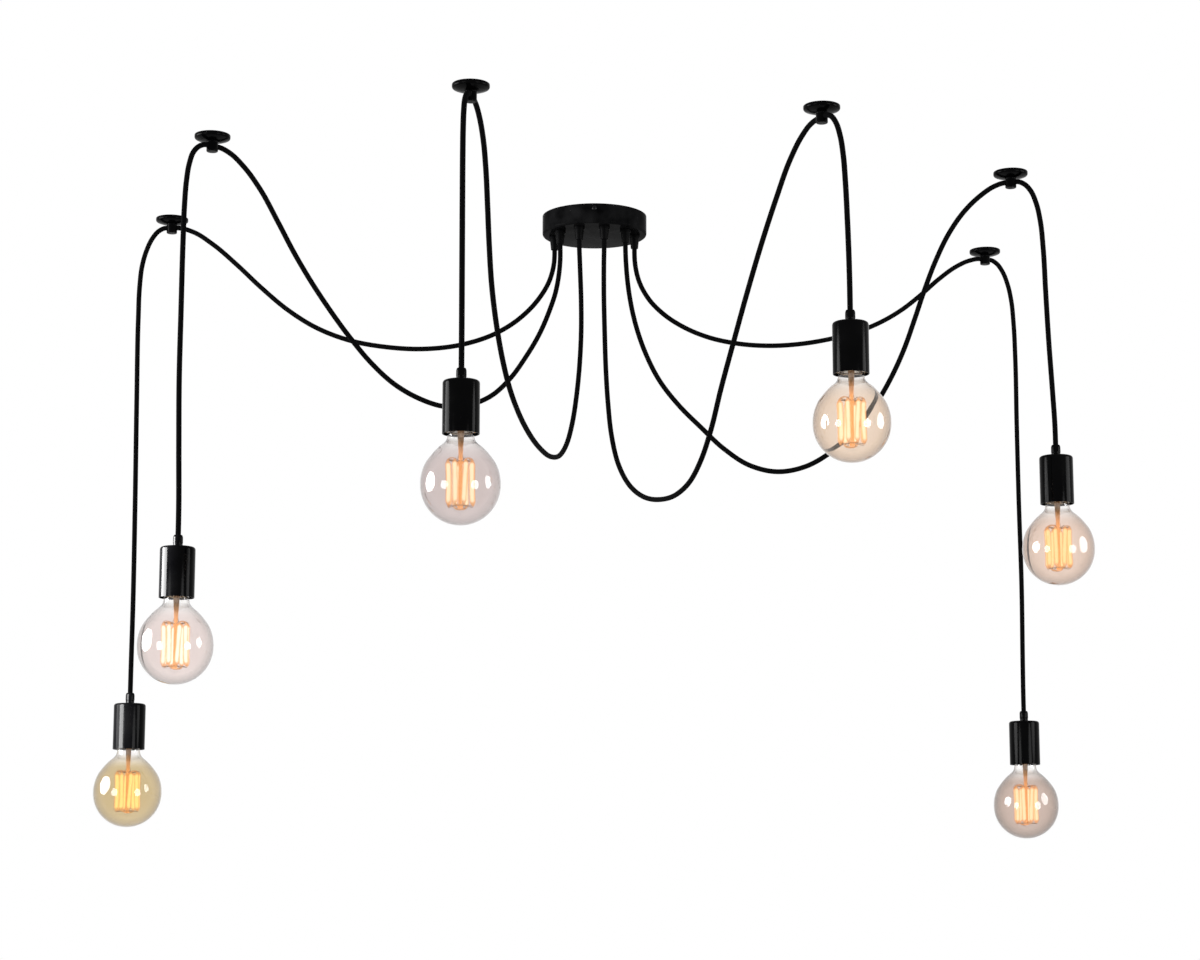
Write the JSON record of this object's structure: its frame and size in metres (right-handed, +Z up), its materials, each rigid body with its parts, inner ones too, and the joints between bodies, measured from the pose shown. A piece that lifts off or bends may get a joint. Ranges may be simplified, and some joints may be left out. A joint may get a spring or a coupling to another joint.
{
  "type": "swag pendant lamp",
  "caption": "Swag pendant lamp: cloth cords fan out from a round canopy over ceiling hooks and hang down to black holders with clear globe bulbs.",
  "frame": {"origin": "middle of the ceiling bracket's top face, on the ceiling plane", "axes": "+Z up; -Y is the front, towards which the fan of hooks opens; +X to the right"},
  "size_m": [1.3903, 0.9538, 0.8899],
  "materials": {
    "black_metal": "satin black powder coat",
    "black_plastic": "matte black",
    "black_cloth": "braided textile",
    "zinc_steel": "zinc plated",
    "brass": "plain",
    "plated_shell": "bright",
    "socket_plastic": "satin cream",
    "terminal_plastic": "white",
    "clear_glass": "clear, faint warm tint",
    "glowing_wire": "glass stem with glowing wire"
  },
  "bodies": {
    "fixed": {"canopy_cover": "black_metal", "ceiling_bracket": "zinc_steel", "cover_screw_front": "black_metal", "cover_screw_back": "black_metal", "terminal_block": "terminal_plastic", "earth_screw": "brass", "far_left_canopy_grip": "black_plastic", "far_left_swag_cord": "black_cloth", "far_left_hook": "black_metal", "mid_left_canopy_grip": "black_plastic", "mid_left_swag_cord": "black_cloth", "mid_left_hook": "black_metal", "front_left_canopy_grip": "black_plastic", "front_left_swag_cord": "black_cloth", "front_left_hook": "black_metal", "front_right_canopy_grip": "black_plastic", "front_right_swag_cord": "black_cloth", "front_right_hook": "black_metal", "mid_right_canopy_grip": "black_plastic", "mid_right_swag_cord": "black_cloth", "mid_right_hook": "black_metal", "far_right_canopy_grip": "black_plastic", "far_right_swag_cord": "black_cloth", "far_right_hook": "black_metal"},
    "far_left_cord": {"far_left_drop_cord": "black_cloth"},
    "far_left_holder": {"far_left_lamp_holder": "black_metal", "far_left_socket": "socket_plastic"},
    "far_left_bulb": {"far_left_bulb_glass": "clear_glass"},
    "far_left_lamp_core": {"far_left_bulb_base": "plated_shell", "far_left_bulb_filament": "glowing_wire"},
    "mid_left_cord": {"mid_left_drop_cord": "black_cloth"},
    "mid_left_holder": {"mid_left_lamp_holder": "black_metal", "mid_left_socket": "socket_plastic"},
    "mid_left_bulb": {"mid_left_bulb_glass": "clear_glass"},
    "mid_left_lamp_core": {"mid_left_bulb_base": "plated_shell", "mid_left_bulb_filament": "glowing_wire"},
    "front_left_cord": {"front_left_drop_cord": "black_cloth"},
    "front_left_holder": {"front_left_lamp_holder": "black_metal", "front_left_socket": "socket_plastic"},
    "front_left_bulb": {"front_left_bulb_glass": "clear_glass"},
    "front_left_lamp_core": {"front_left_bulb_base": "plated_shell", "front_left_bulb_filament": "glowing_wire"},
    "front_right_cord": {"front_right_drop_cord": "black_cloth"},
    "front_right_holder": {"front_right_lamp_holder": "black_metal", "front_right_socket": "socket_plastic"},
    "front_right_bulb": {"front_right_bulb_glass": "clear_glass"},
    "front_right_lamp_core": {"front_right_bulb_base": "plated_shell", "front_right_bulb_filament": "glowing_wire"},
    "mid_right_cord": {"mid_right_drop_cord": "black_cloth"},
    "mid_right_holder": {"mid_right_lamp_holder": "black_metal", "mid_right_socket": "socket_plastic"},
    "mid_right_bulb": {"mid_right_bulb_glass": "clear_glass"},
    "mid_right_lamp_core": {"mid_right_bulb_base": "plated_shell", "mid_right_bulb_filament": "glowing_wire"},
    "far_right_cord": {"far_right_drop_cord": "black_cloth"},
    "far_right_holder": {"far_right_lamp_holder": "black_metal", "far_right_socket": "socket_plastic"},
    "far_right_bulb": {"far_right_bulb_glass": "clear_glass"},
    "far_right_lamp_core": {"far_right_bulb_base": "plated_shell", "far_right_bulb_filament": "glowing_wire"}
  },
  "joints": [
    {"name": "far_left_swing", "type": "hinge", "parent": "fixed", "child": "far_left_cord", "pos_m": [-0.61508, 0.00966, -0.0145], "axis": [-0.9999, 0.0101, 0], "range_deg": [-20, 20]},
    {"name": "far_left_tilt", "type": "hinge", "parent": "far_left_cord", "child": "far_left_holder", "pos_m": [-0.65608, 0.01008, -0.69087], "axis": [-0.0101, -0.9999, 0], "range_deg": [-15, 15]},
    {"name": "far_left_bulb_travel", "type": "slide", "parent": "far_left_holder", "child": "far_left_bulb", "axis": [0, 0, -1], "range_m": [0, 0.01815]},
    {"name": "far_left_bulb_turn", "type": "hinge", "parent": "far_left_bulb", "child": "far_left_lamp_core", "pos_m": [-0.65608, 0.01008, -0.76717], "axis": [0, 0, -1], "range_deg": [0, 1801]},
    {"name": "mid_left_swing", "type": "hinge", "parent": "fixed", "child": "mid_left_cord", "pos_m": [-0.49529, -0.40539, -0.0145], "axis": [-0.7658, -0.6431, 0], "range_deg": [-20, 20]},
    {"name": "mid_left_tilt", "type": "hinge", "parent": "mid_left_cord", "child": "mid_left_holder", "pos_m": [-0.52247, -0.42822, -0.52767], "axis": [0.6431, -0.7658, 0], "range_deg": [-15, 15]},
    {"name": "mid_left_bulb_travel", "type": "slide", "parent": "mid_left_holder", "child": "mid_left_bulb", "axis": [0, 0, -1], "range_m": [0, 0.01815]},
    {"name": "mid_left_bulb_turn", "type": "hinge", "parent": "mid_left_bulb", "child": "mid_left_lamp_core", "pos_m": [-0.52247, -0.42822, -0.60397], "axis": [0, 0, -1], "range_deg": [0, 1801]},
    {"name": "front_left_swing", "type": "hinge", "parent": "fixed", "child": "front_left_cord", "pos_m": [-0.14933, -0.61725, -0.0145], "axis": [-0.2209, -0.9753, 0], "range_deg": [-20, 20]},
    {"name": "front_left_tilt", "type": "hinge", "parent": "front_left_cord", "child": "front_left_holder", "pos_m": [-0.15618, -0.64749, -0.35901], "axis": [0.9753, -0.2209, 0], "range_deg": [-15, 15]},
    {"name": "front_left_bulb_travel", "type": "slide", "parent": "front_left_holder", "child": "front_left_bulb", "axis": [0, 0, -1], "range_m": [0, 0.01815]},
    {"name": "front_left_bulb_turn", "type": "hinge", "parent": "front_left_bulb", "child": "front_left_lamp_core", "pos_m": [-0.15618, -0.64749, -0.43531], "axis": [0, 0, -1], "range_deg": [0, 1801]},
    {"name": "front_right_swing", "type": "hinge", "parent": "fixed", "child": "front_right_cord", "pos_m": [0.28545, -0.53013, -0.0145], "axis": [0.497, -0.8677, 0], "range_deg": [-20, 20]},
    {"name": "front_right_tilt", "type": "hinge", "parent": "front_right_cord", "child": "front_right_holder", "pos_m": [0.31238, -0.57716, -0.27243], "axis": [0.8677, 0.497, 0], "range_deg": [-15, 15]},
    {"name": "front_right_bulb_travel", "type": "slide", "parent": "front_right_holder", "child": "front_right_bulb", "axis": [0, 0, -1], "range_m": [0, 0.01815]},
    {"name": "front_right_bulb_turn", "type": "hinge", "parent": "front_right_bulb", "child": "front_right_lamp_core", "pos_m": [0.31238, -0.57716, -0.34873], "axis": [0, 0, -1], "range_deg": [0, 1801]},
    {"name": "mid_right_swing", "type": "hinge", "parent": "fixed", "child": "mid_right_cord", "pos_m": [0.568, -0.23295, -0.0145], "axis": [0.9367, -0.3501, 0], "range_deg": [-20, 20]},
    {"name": "mid_right_tilt", "type": "hinge", "parent": "mid_right_cord", "child": "mid_right_holder", "pos_m": [0.61577, -0.25081, -0.38118], "axis": [0.3501, 0.9367, 0], "range_deg": [-15, 15]},
    {"name": "mid_right_bulb_travel", "type": "slide", "parent": "mid_right_holder", "child": "mid_right_bulb", "axis": [0, 0, -1], "range_m": [0, 0.01815]},
    {"name": "mid_right_bulb_turn", "type": "hinge", "parent": "mid_right_bulb", "child": "mid_right_lamp_core", "pos_m": [0.61577, -0.25081, -0.45748], "axis": [0, 0, -1], "range_deg": [0, 1801]},
    {"name": "far_right_swing", "type": "hinge", "parent": "fixed", "child": "far_right_cord", "pos_m": [0.59561, 0.19583, -0.0145], "axis": [0.9373, 0.3484, 0], "range_deg": [-20, 20]},
    {"name": "far_right_tilt", "type": "hinge", "parent": "far_right_cord", "child": "far_right_holder", "pos_m": [0.63919, 0.21203, -0.7016], "axis": [-0.3484, 0.9373, 0], "range_deg": [-15, 15]},
    {"name": "far_right_bulb_travel", "type": "slide", "parent": "far_right_holder", "child": "far_right_bulb", "axis": [0, 0, -1], "range_m": [0, 0.01815]},
    {"name": "far_right_bulb_turn", "type": "hinge", "parent": "far_right_bulb", "child": "far_right_lamp_core", "pos_m": [0.63919, 0.21203, -0.7779], "axis": [0, 0, -1], "range_deg": [0, 1801]}
  ],
  "couplings": [
    {"joint": "far_left_bulb_turn", "follows": "far_left_bulb_travel", "rad_per_m": 1731.4},
    {"joint": "mid_left_bulb_turn", "follows": "mid_left_bulb_travel", "rad_per_m": 1731.4},
    {"joint": "front_left_bulb_turn", "follows": "front_left_bulb_travel", "rad_per_m": 1731.4},
    {"joint": "front_right_bulb_turn", "follows": "front_right_bulb_travel", "rad_per_m": 1731.4},
    {"joint": "mid_right_bulb_turn", "follows": "mid_right_bulb_travel", "rad_per_m": 1731.4},
    {"joint": "far_right_bulb_turn", "follows": "far_right_bulb_travel", "rad_per_m": 1731.4}
  ]
}
